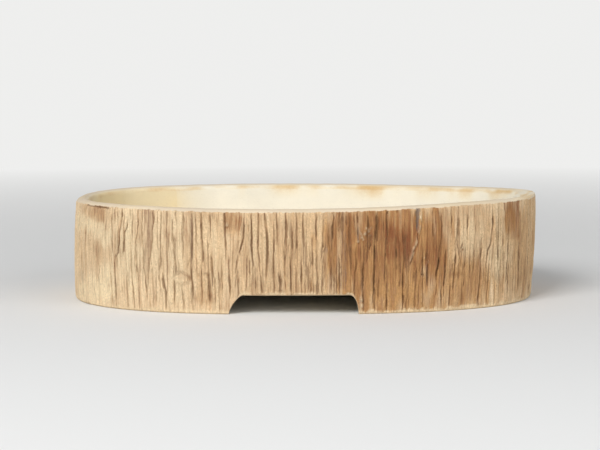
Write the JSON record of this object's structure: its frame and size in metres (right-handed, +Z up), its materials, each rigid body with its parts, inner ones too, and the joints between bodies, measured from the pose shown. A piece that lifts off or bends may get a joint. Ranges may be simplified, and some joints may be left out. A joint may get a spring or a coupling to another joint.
{
  "type": "bonsai pot",
  "caption": "Low oval bonsai tray of bark-textured unglazed stoneware with a thick rounded rim, arched skirt foot, drained floor, screens and wire clips.",
  "frame": {"origin": "on the table, under the middle of the oval", "axes": "+X to the right along the oval's length, +Y to the back, +Z up; the pictured front faces -Y"},
  "size_m": [0.4, 0.288, 0.085],
  "materials": {
    "bark_clay": "unglazed straw stoneware with oxide stain in tooled bark grooves",
    "inner_clay": "smoothed unglazed cream stoneware",
    "screen_plastic": "matt black moulded net",
    "clip_wire": "dull soft wire"
  },
  "bodies": {
    "root": {"left_wall_slab": "bark_clay", "right_wall_slab": "bark_clay", "floor_slab": "inner_clay", "inner_corner_coil": "inner_clay", "left_foot_coil": "inner_clay", "right_foot_coil": "inner_clay", "drain_screen_left": "screen_plastic", "drain_screen_right": "screen_plastic", "screen_clip_left": "clip_wire", "screen_clip_right": "clip_wire"}
  },
  "joints": []
}
